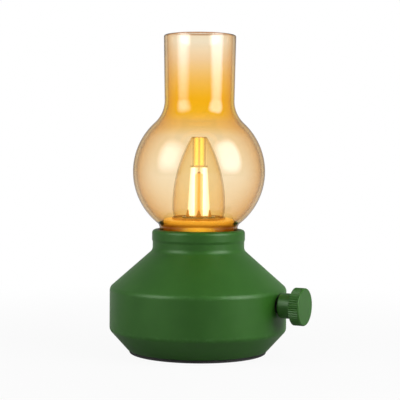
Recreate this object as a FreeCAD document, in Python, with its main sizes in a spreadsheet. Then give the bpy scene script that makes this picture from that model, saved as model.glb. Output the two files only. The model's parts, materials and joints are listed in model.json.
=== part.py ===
"""Lantern table lamp: a green metal base, an amber glass chimney and a candle-shaped lamp.

Millimetres, +Z up. The origin is the centre of the circle the lamp stands on, and +X points
to the dimmer knob. SIZES holds the driving dimensions and PLACES what follows from them.
"""
import FreeCAD, Part
import math
import os

import Sketcher

SIZES = {
    # rubber foot and painted housing, from the table up
    "foot_height": 2.1,
    "foot_width": 5.3,
    "foot_margin": 1.1,
    "foot_round": 0.35,
    "bottom_radius": 47.0,
    "base_radius": 59.25,
    "bevel_height": 13.6,
    "side_height": 27.9,
    "cone_height": 25.2,
    "waist_radius": 30.7,
    "waist_height": 5.6,
    "bead_height": 8.1,
    "bead_proud": 0.45,
    "bead_slope": 1.2,
    "shell_wall": 1.8,
    "lip_width": 3.0,
    "bottom_round": 0.5,
    "bevel_round": 4.0,
    "shoulder_round": 4.4,
    "waist_round": 4.5,
    "bead_round": 2.4,
    "mouth_round": 0.8,
    # seat of the glass inside the neck
    "neck_depth": 11.0,
    "neck_gap": 0.6,
    "ledge_thickness": 2.5,
    "ledge_bore": 16.0,
    "seat_thickness": 2.0,
    "seat_gap": 0.3,
    # amber glass chimney
    "glass_foot_radius": 26.2,
    "glass_wall": 2.0,
    "globe_radius": 44.15,
    "globe_centre": 121.1,
    "throat_radius": 23.3,
    "throat_fillet": 20.0,
    "rim_radius": 24.1,
    "rim_height": 212.0,
    "glass_foot_round": 1.5,
    # holder cup
    "holder_gap": 0.6,
    "holder_height": 18.0,
    "holder_wall": 2.0,
    "holder_round": 1.8,
    "holder_screw_circle": 19.5,
    "holder_screw_angle": 90.0,
    "holder_boss_radius": 2.6,
    "holder_screw_length": 9.0,
    # lamp on the holder
    "bulb_radius": 17.75,
    "bulb_foot_radius": 16.2,
    "bulb_top_radius": 5.15,
    "bulb_belly": 9.0,
    "bulb_height": 54.8,
    "bulb_wall": 0.9,
    "tube_radius": 4.45,
    "tube_wall": 1.0,
    "tube_fit": 0.05,
    "flange_radius": 6.0,
    "flange_thickness": 1.2,
    "guide_top_radius": 5.7,
    "guide_foot_radius": 7.8,
    "guide_bore": 3.0,
    "guide_height": 32.2,
    "pin_radius": 0.9,
    "pin_head_radius": 1.3,
    "pin_height": 30.0,
    "collar_gap": 0.6,
    "collar_width": 1.1,
    "collar_height": 1.4,
    "board_radius": 11.0,
    "board_thickness": 1.6,
    "chip_inner_radius": 4.4,
    "chip_outer_radius": 8.2,
    "chip_thickness": 0.6,
    # base plate and its screws
    "plate_thickness": 2.4,
    "plate_gap": 0.3,
    "post_circle": 36.5,
    "post_angle": 36.0,
    "post_radius": 3.2,
    "screw_radius": 1.5,
    "screw_gap": 0.2,
    "screw_head_radius": 2.7,
    "screw_head_height": 1.5,
    "screw_socket_radius": 1.35,
    "screw_socket_depth": 0.9,
    "screw_length": 10.0,
    "small_screw_radius": 1.1,
    "small_screw_head_radius": 2.0,
    "small_screw_head_height": 1.3,
    "small_screw_socket_radius": 1.0,
    "small_screw_socket_depth": 0.8,
    "small_screw_length": 4.0,
    "thread_fit": 0.05,
    # battery box, cells and door
    "cell_radius": 7.1,
    "cell_length": 50.5,
    "button_radius": 2.7,
    "button_height": 1.2,
    "cell_chamfer": 0.6,
    "cell_pitch": 15.6,
    "cell_gap": 0.2,
    "cell_lift": 0.4,
    "spring_reach": 6.1,
    "spring_foot": 1.3,
    "spring_crest": 1.6,
    "spring_slant": 0.36,
    "contact_thickness": 0.4,
    "contact_width": 9.0,
    "contact_height": 8.0,
    "box_wall": 1.5,
    "box_roof": 2.6,
    "ear_reach": 7.0,
    "ear_width": 8.0,
    "ear_thickness": 2.0,
    "ear_lift": 4.0,
    "ear_boss_radius": 3.0,
    "door_width": 44.0,
    "door_length": 57.0,
    "door_thickness": 2.0,
    "door_gap": 0.3,
    "hinge_pin_radius": 0.8,
    "hinge_pin_reach": 1.5,
    "hinge_fit": 0.05,
    "hinge_back": 29.0,
    "latch_width": 10.0,
    "latch_slot": 1.0,
    "latch_length": 9.0,
    "latch_lug": 1.1,
    "latch_lug_length": 1.65,
    "latch_lug_setback": 0.55,
    "grip_length": 3.5,
    "grip_depth": 0.9,
    # driver board
    "driver_width": 40.0,
    "driver_length": 48.0,
    "driver_thickness": 1.6,
    "standoff_height": 3.0,
    "standoff_radius": 2.4,
    "standoff_x": 16.0,
    "standoff_y": 20.0,
    "terminal_height": 8.0,
    "terminal_depth": 6.0,
    "led_lead_x": 7.5,
    "led_lead_y": 3.0,
    "coil_x": -8.0,
    "coil_y": 10.0,
    "coil_radius": 4.0,
    "controller_x": -12.0,
    "controller_y": -7.5,
    "controller_width": 8.0,
    "controller_length": 5.0,
    "controller_height": 1.6,
    "lead_radius": 0.7,
    "battery_lead_x": 8.0,
    "battery_lead_y": -20.0,
    # dimmer and its knob
    "knob_height": 35.1,
    "dimmer_radius": 8.5,
    "dimmer_length": 8.0,
    "dimmer_wall": 2.0,
    "dimmer_setback": 5.0,
    "lug_reach": 2.0,
    "lug_root": 1.0,
    "lug_pitch": 4.25,
    "pad_radius": 9.5,
    "bushing_radius": 3.5,
    "bushing_gap": 0.2,
    "bushing_end": 3.0,
    "seat_depth": 0.8,
    "seat_radius": 7.0,
    "washer_radius": 5.6,
    "washer_thickness": 0.6,
    "nut_flats": 10.0,
    "nut_thickness": 2.2,
    "shaft_radius": 3.0,
    "shaft_fit": 0.05,
    "shaft_gap": 0.6,
    "shaft_flat": 1.5,
    "shaft_reach": 14.5,
    "knob_gap": 1.5,
    "hub_radius": 8.2,
    "hub_length": 9.5,
    "hub_cavity_radius": 6.6,
    "hub_cavity_gap": 1.0,
    "knob_fit": 0.03,
    "knob_radius": 12.2,
    "knob_thickness": 7.2,
    "knob_round": 0.9,
    "knurl_length": 6.1,
    "knurl_half_width": 0.62,
    "knurl_depth": 0.45,
    "knurl_count": 50,
}

PLACES = {
    # heights in the housing
    "plate_top": "size.foot_height + size.plate_thickness",
    "bevel_top": "size.foot_height + size.bevel_height",
    "shoulder": "place.bevel_top + size.side_height",
    "cone_top": "place.shoulder + size.cone_height",
    "bead_foot": "place.cone_top + size.waist_height",
    "bead_side": "place.bead_foot + size.bead_slope",
    "neck_top": "place.bead_foot + size.bead_height",
    "ledge_top": "place.neck_top - size.neck_depth",
    "ledge_under": "place.ledge_top - size.ledge_thickness",
    # radii in the housing
    "bead_radius": "size.waist_radius + size.bead_proud",
    "neck_bore": "size.glass_foot_radius + size.neck_gap",
    "lip_radius": "size.bottom_radius - size.lip_width",
    "plate_radius": "place.lip_radius - size.plate_gap",
    "foot_outer": "size.bottom_radius - size.foot_margin",
    "foot_inner": "place.foot_outer - size.foot_width",
    # slopes of the bevel and the cone, and the wall measured upright through them
    "bevel_slope": "size.bevel_height / (size.base_radius - size.bottom_radius)",
    "cone_slope": "size.cone_height / (size.base_radius - size.waist_radius)",
    "bevel_wall": "size.shell_wall * sqrt(1 + place.bevel_slope ^ 2)",
    "cone_wall": "size.shell_wall * sqrt(1 + place.cone_slope ^ 2)",
    "side_inner": "size.base_radius - size.shell_wall",
    "bevel_inner": "place.bevel_top - size.shell_wall * place.bevel_slope + place.bevel_wall",
    "shoulder_inner": "place.shoulder + size.shell_wall * place.cone_slope - place.cone_wall",
    # the sheet's edge is turned in below, one wall thick
    "lip_top": "size.foot_height + size.shell_wall",
    "lip_corner": "size.bottom_radius + (size.shell_wall - place.bevel_wall) / place.bevel_slope",
    "attic_radius": "size.base_radius"
                    " - (place.ledge_under - place.shoulder + place.cone_wall) / place.cone_slope",
    "post_x": "size.post_circle * cos(size.post_angle)",
    "post_y": "size.post_circle * sin(size.post_angle)",
    # the posts end half way through the cone's wall, measured at two radii beside them
    "post_near": "size.post_circle - 2 * size.post_radius",
    "post_far": "size.post_circle + 2 * size.post_radius",
    "cone_middle": "place.shoulder - place.cone_wall / 2",
    "post_near_top": "place.cone_middle"
                     " + (size.base_radius - place.post_near) * place.cone_slope",
    "post_far_top": "place.cone_middle + (size.base_radius - place.post_far) * place.cone_slope",
    # glass: foot, tangent circles of the throat, and the same inside the wall
    "glass_foot": "place.ledge_top + size.seat_thickness",
    "glass_bore": "size.glass_foot_radius - size.glass_wall",
    "globe_inner": "size.globe_radius - size.glass_wall",
    "globe_low": "size.globe_centre - sqrt(size.globe_radius ^ 2 - size.glass_foot_radius ^ 2)",
    "globe_low_inner": "size.globe_centre - sqrt(place.globe_inner ^ 2 - place.glass_bore ^ 2)",
    "throat_axis": "size.throat_radius + size.throat_fillet",
    "throat_reach": "size.globe_radius + size.throat_fillet",
    "throat_rise": "sqrt(place.throat_reach ^ 2 - place.throat_axis ^ 2)",
    "throat_height": "size.globe_centre + place.throat_rise",
    "rim_centre": "size.rim_height - size.glass_wall / 2",
    # holder cup and lamp
    "holder_radius": "place.glass_bore - size.holder_gap",
    "holder_top": "place.ledge_top + size.holder_height",
    "holder_inner": "place.holder_radius - size.holder_wall",
    "bulb_middle": "place.holder_top + size.bulb_belly",
    "bulb_top": "place.holder_top + size.bulb_height",
    "bulb_rise": "size.bulb_height - size.bulb_belly",
    "bulb_taper": "size.bulb_radius - size.bulb_top_radius",
    "bulb_upper_arc": "(place.bulb_rise ^ 2 + place.bulb_taper ^ 2) / (2 * place.bulb_taper)",
    "bulb_tuck": "size.bulb_radius - size.bulb_foot_radius",
    "bulb_lower_arc": "(size.bulb_belly ^ 2 + place.bulb_tuck ^ 2) / (2 * place.bulb_tuck)",
    "bulb_upper_axis": "size.bulb_radius - place.bulb_upper_arc",
    "bulb_lower_axis": "size.bulb_radius - place.bulb_lower_arc",
    "bulb_hole": "size.tube_radius + size.tube_fit",
    "bulb_hole_height": "place.bulb_middle + sqrt((place.bulb_upper_arc - size.bulb_wall) ^ 2"
                        " - (place.bulb_hole - place.bulb_upper_axis) ^ 2)",
    "bulb_foot_inner": "place.bulb_lower_axis"
                       " + sqrt((place.bulb_lower_arc - size.bulb_wall) ^ 2 - size.bulb_belly ^ 2)",
    "board_top": "place.holder_top + size.board_thickness",
    "guide_foot": "place.board_top + size.chip_thickness",
    "guide_top": "place.guide_foot + size.guide_height",
    "flange_top": "place.guide_top + size.flange_thickness",
    "collar_inner": "size.bulb_foot_radius + size.collar_gap",
    # battery box: the cells lie along Y, the middle one turned round
    "cell_axis": "place.plate_top + size.cell_lift + size.cell_radius",
    "bay_radius": "size.cell_radius + size.cell_gap",
    "bay_length": "size.cell_length + size.contact_thickness + size.spring_reach",
    "bay_end": "place.bay_length / 2",
    "cell_shift": "place.bay_end - size.contact_thickness - size.cell_length / 2",
    "box_half_width": "size.cell_pitch + place.bay_radius + size.box_wall",
    "box_half_length": "place.bay_end + size.box_wall",
    "box_top": "place.cell_axis + place.bay_radius + size.box_roof",
    "ear_x": "place.box_half_width + size.ear_reach / 2",
    "ear_seat": "place.plate_top + size.ear_lift",
    "ear_top": "place.ear_seat + size.ear_thickness",
    # door: its nose is a half round about the hinge axis
    "nose_radius": "size.door_thickness / 2",
    "hinge_height": "size.foot_height + place.nose_radius",
    "door_front": "size.door_length - size.hinge_back",
    "door_top": "size.foot_height + size.door_thickness",
    "opening_half": "size.door_width / 2 + size.door_gap",
    "opening_back": "size.hinge_back + place.nose_radius + size.door_gap",
    "opening_front": "place.door_front + size.door_gap",
    # driver board
    "driver_foot": "place.box_top + size.standoff_height",
    "driver_top": "place.driver_foot + size.driver_thickness",
    "terminal_top": "place.driver_top + size.terminal_height",
    # dimmer, measured along +X
    "dimmer_face": "size.base_radius - size.dimmer_setback",
    "pad_end": "sqrt((size.base_radius - size.shell_wall / 2) ^ 2 - size.pad_radius ^ 2)",
    "seat_face": "size.base_radius - size.seat_depth",
    "washer_face": "place.seat_face + size.washer_thickness",
    "bushing_tip": "size.base_radius + size.bushing_end",
    "dimmer_bore": "size.shaft_radius + size.shaft_fit",
    "dimmer_back": "place.dimmer_face - size.dimmer_length",
    "dimmer_lug": "place.dimmer_back - size.lug_reach",
    "dimmer_floor": "place.dimmer_back + size.dimmer_wall",
    "shaft_root": "place.dimmer_floor + size.shaft_gap",
    "shaft_shoulder": "place.bushing_tip + size.shaft_gap",
    "shaft_tip": "size.base_radius + size.shaft_reach",
    "flat_half": "sqrt(size.shaft_radius ^ 2 - size.shaft_flat ^ 2)",
    "hub_face": "size.base_radius + size.knob_gap",
    "disc_face": "place.hub_face + size.hub_length",
    "knob_face": "place.disc_face + size.knob_thickness",
    "cavity_end": "place.bushing_tip + size.hub_cavity_gap",
    "knob_bore": "size.shaft_radius + size.knob_fit",
    "knob_flat": "size.shaft_flat + size.knob_fit",
    "knob_flat_half": "sqrt(place.knob_bore ^ 2 - place.knob_flat ^ 2)",
}

doc = FreeCAD.newDocument("lantern_table_lamp")


def make_sheet(name, rows):
    """A sheet with one alias a row."""
    sheet = doc.addObject("Spreadsheet::Sheet", name)
    for row, (alias, content) in enumerate(rows.items(), 1):
        sheet.set("A%d" % row, alias)
        sheet.set("B%d" % row, str(content))
        sheet.setAlias("B%d" % row, alias)
    return sheet


size_sheet = make_sheet("size", SIZES)
place_sheet = make_sheet("place", {name: "=" + formula.replace("place.", "")
                                   for name, formula in PLACES.items()})
doc.recompute()


def value(expression):
    """The number that an expression on the sheets gives."""
    return float(size_sheet.evalExpression(expression))


# ---------------------------------------------------------------- helpers for bodies

parts = []


def make_body(label, several=False):
    """A body that becomes one node. several lets it hold separate solids."""
    body = doc.addObject("PartDesign::Body", label)
    body.Label = label
    body.AllowCompound = several
    parts.append(body)
    return body


def origin_feature(body, role):
    for feature in body.Origin.OriginFeatures:
        if feature.Role == role:
            return feature
    raise ValueError(role)


def make_sketch(body, role, offset="0"):
    """A sketch on one of the body's own planes, moved along the plane's normal by offset."""
    sketch = body.newObject("Sketcher::SketchObject", body.Name + "_sketch")
    sketch.AttachmentSupport = (origin_feature(body, role), "")
    sketch.MapMode = "FlatFace"
    sketch.setExpression("AttachmentOffset.Base.z", offset)
    return sketch


def pin_point(sketch, geometry, corner, place, axes="XY"):
    """Fix a point of the sketch at the distances from its origin that two expressions give."""
    for axis, expression in zip("XY", place):
        if axis not in axes:
            continue
        number = sketch.addConstraint(Sketcher.Constraint(
            "Distance" + axis, -1, 1, geometry, corner, value(expression)))
        sketch.setExpression("Constraints[%d]" % number, expression)


def draw_outline(sketch, corners, arcs=None):
    """A closed outline through corners, each a pair of expressions.

    arcs maps the number of the corner where an arc starts to the arc's centre and to its
    turn, +1 anticlockwise or -1 clockwise. The corner that ends an arc keeps one of its
    two distances, and the arc's own radius gives the other.
    """
    arcs = arcs or {}
    points = [FreeCAD.Vector(value(x), value(y), 0) for x, y in corners]
    first = sketch.GeometryCount
    ends = []
    for index, start in enumerate(points):
        finish = points[(index + 1) % len(points)]
        if index not in arcs:
            sketch.addGeometry(Part.LineSegment(start, finish), False)
            ends.append((1, 2))
            continue
        centre_x, centre_y, turn = arcs[index]
        centre = FreeCAD.Vector(value(centre_x), value(centre_y), 0)
        angles = [math.atan2(point.y - centre.y, point.x - centre.x)
                  for point in (start, finish)[::turn]]
        if angles[1] < angles[0]:
            angles[1] += 2 * math.pi
        circle = Part.Circle(centre, FreeCAD.Vector(0, 0, 1), start.distanceToPoint(centre))
        sketch.addGeometry(Part.ArcOfCircle(circle, *angles), False)
        ends.append((1, 2)[::turn])
    for index, place in enumerate(corners):
        before = (index - 1) % len(corners)
        sketch.addConstraint(Sketcher.Constraint(
            "Coincident", first + before, ends[before][1], first + index, ends[index][0]))
        axes = "XY"
        if before in arcs:
            centre_x, centre_y, turn = arcs[before]
            reach_x = abs(points[index].x - value(centre_x))
            reach_y = abs(points[index].y - value(centre_y))
            axes = "X" if reach_x < reach_y else "Y"
        pin_point(sketch, first + index, ends[index][0], place, axes)
        if index in arcs:
            pin_point(sketch, first + index, 3, arcs[index][:2])


def draw_circle(sketch, x, y, radius):
    circle = Part.Circle(FreeCAD.Vector(value(x), value(y), 0), FreeCAD.Vector(0, 0, 1),
                         value(radius))
    geometry = sketch.addGeometry(circle, False)
    pin_point(sketch, geometry, 3, (x, y))
    number = sketch.addConstraint(Sketcher.Constraint("Radius", geometry, value(radius)))
    sketch.setExpression("Constraints[%d]" % number, radius)


def draw_box(sketch, low_x, low_y, high_x, high_y):
    draw_outline(sketch, [(low_x, low_y), (high_x, low_y), (high_x, high_y), (low_x, high_y)])


def draw_hexagon(sketch, x, y, corner_radius):
    corners = []
    for step in range(6):
        angle = 60 * step
        corners.append(("%s + %s * cos(%d)" % (x, corner_radius, angle),
                        "%s + %s * sin(%d)" % (y, corner_radius, angle)))
    draw_outline(sketch, corners)


def revolve(body, corners, arcs=None, kind="Revolution", along="V_Axis"):
    """Turn an outline in the XZ plane about the body's Z axis, or X with along H_Axis."""
    sketch = make_sketch(body, "XZ_Plane")
    draw_outline(sketch, corners, arcs)
    feature = body.newObject("PartDesign::" + kind, body.Name + "_turn")
    feature.Profile = sketch
    feature.ReferenceAxis = (sketch, [along])
    feature.Angle = 360
    return feature


def extrude(body, sketch, length, kind="Pad", middle=False):
    """Pad or pocket a sketch along its normal, or half each way with middle."""
    feature = body.newObject("PartDesign::" + kind, body.Name + "_" + kind.lower())
    feature.Profile = sketch
    feature.setExpression("Length", length)
    if middle:
        feature.SideType = "Symmetric"
    else:
        feature.Reversed = kind == "Pocket"
    return feature


def round_rims(body, base, rims, radius, kind="Fillet"):
    """Fillet or chamfer the circular edges given as (axis, radius, place on the axis)."""
    doc.recompute()
    names = []
    for index, edge in enumerate(base.Shape.Edges, 1):
        if edge.Curve.TypeId != "Part::GeomCircle":
            continue
        for axis, rim_radius, place in rims:
            centre = getattr(edge.Curve.Center, axis)
            if (abs(edge.Curve.Radius - value(rim_radius)) < 1e-4
                    and abs(centre - value(place)) < 1e-4):
                names.append("Edge%d" % index)
    if not names:
        raise RuntimeError("no rim found on " + base.Name)
    feature = body.newObject("PartDesign::" + kind, body.Name + "_" + kind.lower())
    feature.Base = (base, names)
    feature.setExpression("Radius" if kind == "Fillet" else "Size", radius)
    return feature


def four_corners(x, y):
    return [(sign_x + x, sign_y + y) for sign_x in ("", "-") for sign_y in ("", "-")]


POSTS = four_corners("place.post_x", "place.post_y")
STANDOFFS = four_corners("size.standoff_x", "size.standoff_y")
HOLDER_SCREWS = [("size.holder_screw_circle * cos(size.holder_screw_angle + %d)" % turn,
                  "size.holder_screw_circle * sin(size.holder_screw_angle + %d)" % turn)
                 for turn in range(0, 360, 120)]
EARS = [("place.ear_x", "0"), ("-place.ear_x", "0")]
CELLS = [("-size.cell_pitch", 1), ("0", -1), ("size.cell_pitch", 1)]


def pad_circles(body, centres, radius, low, length, kind="Pad"):
    """Equal round bosses, or holes with kind Pocket, from height low upwards."""
    sketch = make_sketch(body, "XY_Plane", low)
    for x, y in centres:
        draw_circle(sketch, x, y, radius)
    return extrude(body, sketch, length, kind)


def make_screws(label, centres, seat, up, kind, length):
    """Equal cap screws with a hexagon socket. Their heads sit on seat, their shanks go up
    or down from it."""
    body = make_body(label, several=True)
    head_height = "size.%s_head_height" % kind
    socket_depth = "size.%s_socket_depth" % kind
    head_low = "%s - %s" % (seat, head_height) if up else seat
    shank_low = seat if up else "%s - %s" % (seat, length)
    socket_low = head_low if up else "%s + %s - %s" % (seat, head_height, socket_depth)
    pad_circles(body, centres, "size.%s_head_radius" % kind, head_low, head_height)
    pad_circles(body, centres, "size.%s_radius" % kind, shank_low, length)
    sketch = make_sketch(body, "XY_Plane", socket_low)
    for x, y in centres:
        draw_hexagon(sketch, x, y, "size.%s_socket_radius" % kind)
    extrude(body, sketch, socket_depth, "Pocket")


# ---------------------------------------------------------------- housing

def make_body_shell():
    """The spun and drawn housing, with four screw posts and a ledge in the neck."""
    body = make_body("body_shell", several=True)
    pad_circles(body, POSTS, "size.post_radius", "place.plate_top",
                "place.neck_top - place.plate_top")
    revolve(body, [
        ("place.post_near", "place.post_near_top"),
        ("place.post_far", "place.post_far_top"),
        ("place.post_far", "place.neck_top"),
        ("place.post_near", "place.neck_top")], kind="Groove")
    wall = revolve(body, [
        ("size.bottom_radius", "size.foot_height"),
        ("size.base_radius", "place.bevel_top"),
        ("size.base_radius", "place.shoulder"),
        ("size.waist_radius", "place.cone_top"),
        ("size.waist_radius", "place.bead_foot"),
        ("place.bead_radius", "place.bead_side"),
        ("place.bead_radius", "place.neck_top"),
        ("place.neck_bore", "place.neck_top"),
        ("place.neck_bore", "place.ledge_top"),
        ("size.ledge_bore", "place.ledge_top"),
        ("size.ledge_bore", "place.ledge_under"),
        ("place.attic_radius", "place.ledge_under"),
        ("place.side_inner", "place.shoulder_inner"),
        ("place.side_inner", "place.bevel_inner"),
        ("place.lip_corner", "place.lip_top"),
        ("place.lip_radius", "place.lip_top"),
        ("place.lip_radius", "size.foot_height")])
    rounds = [
        ("size.bottom_radius", "size.foot_height", "size.bottom_round"),
        ("size.base_radius", "place.bevel_top", "size.bevel_round"),
        ("size.base_radius", "place.shoulder", "size.shoulder_round"),
        ("size.waist_radius", "place.cone_top", "size.waist_round"),
        ("place.bead_radius", "place.neck_top", "size.bead_round"),
        ("place.neck_bore", "place.neck_top", "size.mouth_round")]
    for radius, height, rounding in rounds:
        wall = round_rims(body, wall, [("z", radius, height)], rounding)
    # flat pad inside the wall for the dimmer, its bore, and the flat seat outside
    pad = make_sketch(body, "YZ_Plane", "place.dimmer_face")
    draw_circle(pad, "0", "size.knob_height", "size.pad_radius")
    extrude(body, pad, "place.pad_end - place.dimmer_face")
    bore = make_sketch(body, "YZ_Plane", "place.dimmer_face")
    draw_circle(bore, "0", "size.knob_height", "size.bushing_radius + size.bushing_gap")
    extrude(body, bore, "size.dimmer_setback", "Pocket")
    seat = make_sketch(body, "YZ_Plane", "place.seat_face")
    draw_circle(seat, "0", "size.knob_height", "size.seat_radius")
    extrude(body, seat, "size.seat_depth", "Pocket")
    # pilot holes up the posts, and clearance holes through the ledge
    pad_circles(body, POSTS, "size.screw_radius + size.thread_fit", "place.plate_top",
                "size.screw_length", "Pocket")
    pad_circles(body, HOLDER_SCREWS, "size.small_screw_radius + size.screw_gap",
                "place.ledge_under", "size.ledge_thickness", "Pocket")


def make_foot_ring():
    """Rubber ring under the plate's edge."""
    body = make_body("foot_ring")
    ring = revolve(body, [
        ("place.foot_inner", "0"),
        ("place.foot_outer", "0"),
        ("place.foot_outer", "size.foot_height"),
        ("place.foot_inner", "size.foot_height")])
    round_rims(body, ring, [("z", "place.foot_outer", "0"), ("z", "place.foot_inner", "0")],
               "size.foot_round")


def make_base_plate():
    """Round plate with the battery opening, screw holes, ear bosses and hinge bores."""
    body = make_body("base_plate")
    disc = make_sketch(body, "XY_Plane", "size.foot_height")
    draw_circle(disc, "0", "0", "place.plate_radius")
    draw_box(disc, "-place.opening_half", "-place.opening_back",
             "place.opening_half", "place.opening_front")
    extrude(body, disc, "size.plate_thickness")
    pad_circles(body, EARS, "size.ear_boss_radius", "place.plate_top", "size.ear_lift")
    pad_circles(body, EARS, "size.small_screw_radius + size.thread_fit",
                "place.ear_seat - size.small_screw_length + size.ear_thickness",
                "size.small_screw_length - size.ear_thickness", "Pocket")
    pad_circles(body, POSTS, "size.screw_radius + size.screw_gap", "size.foot_height",
                "size.plate_thickness", "Pocket")
    pad_circles(body, POSTS, "size.screw_head_radius + size.screw_gap", "size.foot_height",
                "size.screw_head_height", "Pocket")
    bores = make_sketch(body, "YZ_Plane")
    draw_circle(bores, "-size.hinge_back", "place.hinge_height",
                "size.hinge_pin_radius + size.hinge_fit")
    extrude(body, bores, "2 * (place.opening_half + size.hinge_pin_reach)", "Pocket",
            middle=True)


# ---------------------------------------------------------------- battery box and door

def make_battery_box():
    """Tray with three arched bays open below, two ears and four standoffs."""
    body = make_body("battery_box")
    block = make_sketch(body, "XY_Plane", "place.plate_top")
    draw_box(block, "-place.box_half_width", "-place.box_half_length",
             "place.box_half_width", "place.box_half_length")
    extrude(body, block, "place.box_top - place.plate_top")
    bays = make_sketch(body, "XZ_Plane")
    for x, direction in CELLS:
        draw_outline(bays, [
            (x + " + place.bay_radius", "place.plate_top"),
            (x + " + place.bay_radius", "place.cell_axis"),
            (x + " - place.bay_radius", "place.cell_axis"),
            (x + " - place.bay_radius", "place.plate_top")],
            {1: (x, "place.cell_axis", 1)})
    extrude(body, bays, "place.bay_length", "Pocket", middle=True)
    ears = make_sketch(body, "XY_Plane", "place.ear_seat")
    draw_box(ears, "-place.box_half_width - size.ear_reach", "-size.ear_width / 2",
             "-place.box_half_width", "size.ear_width / 2")
    draw_box(ears, "place.box_half_width", "-size.ear_width / 2",
             "place.box_half_width + size.ear_reach", "size.ear_width / 2")
    extrude(body, ears, "size.ear_thickness")
    pad_circles(body, EARS, "size.small_screw_radius + size.screw_gap", "place.ear_seat",
                "size.ear_thickness", "Pocket")
    pad_circles(body, STANDOFFS, "size.standoff_radius", "place.box_top",
                "size.standoff_height")
    pad_circles(body, STANDOFFS, "size.small_screw_radius + size.thread_fit",
                "place.box_top", "size.standoff_height", "Pocket")


def make_battery_cells():
    """Three equal cells, each turned about its own Y axis and then put in its bay."""
    for number, (x, direction) in enumerate(CELLS, 1):
        body = make_body("battery_cell_%d" % number)
        sketch = make_sketch(body, "XY_Plane")
        half = "size.cell_length / 2"
        draw_outline(sketch, [
            ("0", "-" + half),
            ("size.cell_radius - size.cell_chamfer", "-" + half),
            ("size.cell_radius", "-%s + size.cell_chamfer" % half),
            ("size.cell_radius", half + " - size.button_height - size.cell_chamfer"),
            ("size.cell_radius - size.cell_chamfer", half + " - size.button_height"),
            ("size.button_radius", half + " - size.button_height"),
            ("size.button_radius", half),
            ("0", half)])
        can = body.newObject("PartDesign::Revolution", body.Name + "_turn")
        can.Profile = sketch
        can.ReferenceAxis = (sketch, ["V_Axis"])
        body.setExpression("Placement.Base.x", x)
        body.setExpression("Placement.Base.y", "%d * place.cell_shift" % direction)
        body.setExpression("Placement.Base.z", "place.cell_axis")
        body.setExpression("Placement.Rotation.Angle", "90 - 90 * %d" % direction)


def make_contacts():
    """Flat contacts behind the buttons, and bowed leaves behind the cells' flat ends."""
    low = "place.cell_axis - size.contact_height / 2"
    half = "size.contact_width / 2"
    plates = make_body("contact_plates", several=True)
    sketch = make_sketch(plates, "XY_Plane", low)
    for x, direction in CELLS:
        ends = ["%d * (place.bay_end - size.contact_thickness)" % direction,
                "%d * place.bay_end" % direction]
        draw_box(sketch, "%s - %s" % (x, half), ends[0], "%s + %s" % (x, half), ends[1])
    extrude(plates, sketch, "size.contact_height")
    springs = make_body("contact_springs", several=True)
    sketch = make_sketch(springs, "XY_Plane", low)
    thick = "size.contact_thickness"
    for x, direction in CELLS:
        # half of a hat-shaped leaf: distance from the cell's axis, height above the wall
        side = [(half, "0"),
                (half, thick),
                ("(%s - size.spring_foot)" % half, thick),
                ("size.spring_crest", "size.spring_reach"),
                ("(size.spring_crest - size.spring_slant)", "size.spring_reach - " + thick),
                ("(%s - size.spring_foot - size.spring_slant)" % half, "0")]
        order = [(1, row) for row in side[:4]] + [(-1, row) for row in side[3::-1]]
        order += [(-1, row) for row in side[:3:-1]] + [(1, row) for row in side[4:]]
        draw_outline(sketch, [("%s + %d * %s" % (x, hand, out),
                               "%d * (%s - place.bay_end)" % (direction, rise))
                              for hand, (out, rise) in order])
    extrude(springs, sketch, "size.contact_height")


def make_battery_door():
    """Flap with a half-round nose, hinge pins, a sprung latch tongue and a finger grip."""
    body = make_body("battery_door")
    flap = make_sketch(body, "YZ_Plane")
    draw_outline(flap, [
        ("-size.hinge_back", "size.foot_height"),
        ("place.door_front", "size.foot_height"),
        ("place.door_front", "place.door_top"),
        ("-size.hinge_back", "place.door_top")],
        {3: ("-size.hinge_back", "place.hinge_height", 1)})
    extrude(body, flap, "size.door_width", middle=True)
    pins = make_sketch(body, "YZ_Plane")
    draw_circle(pins, "-size.hinge_back", "place.hinge_height", "size.hinge_pin_radius")
    extrude(body, pins, "size.door_width + 2 * size.hinge_pin_reach", middle=True)
    slots = make_sketch(body, "XY_Plane", "size.foot_height")
    inner = "size.latch_width / 2"
    outer = "size.latch_width / 2 + size.latch_slot"
    root = "place.door_front - size.latch_length"
    beyond = "place.door_front + size.latch_slot"
    draw_box(slots, inner, root, outer, beyond)
    draw_box(slots, "-(%s)" % outer, root, "-" + inner, beyond)
    extrude(body, slots, "size.door_thickness", "Pocket")
    lug = make_sketch(body, "XY_Plane", "place.door_top")
    lug_end = "place.door_front - size.latch_lug_setback"
    draw_box(lug, "-%s + size.latch_slot" % inner, lug_end + " - size.latch_lug_length",
             inner + " - size.latch_slot", lug_end)
    extrude(body, lug, "size.latch_lug")
    grip = make_sketch(body, "XY_Plane", "size.foot_height")
    grip_end = "place.door_front - size.latch_slot"
    draw_box(grip, "-%s + size.latch_slot" % inner, grip_end + " - size.grip_length",
             inner + " - size.latch_slot", grip_end)
    extrude(body, grip, "size.grip_depth", "Pocket")


# ---------------------------------------------------------------- driver board and leads

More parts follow.
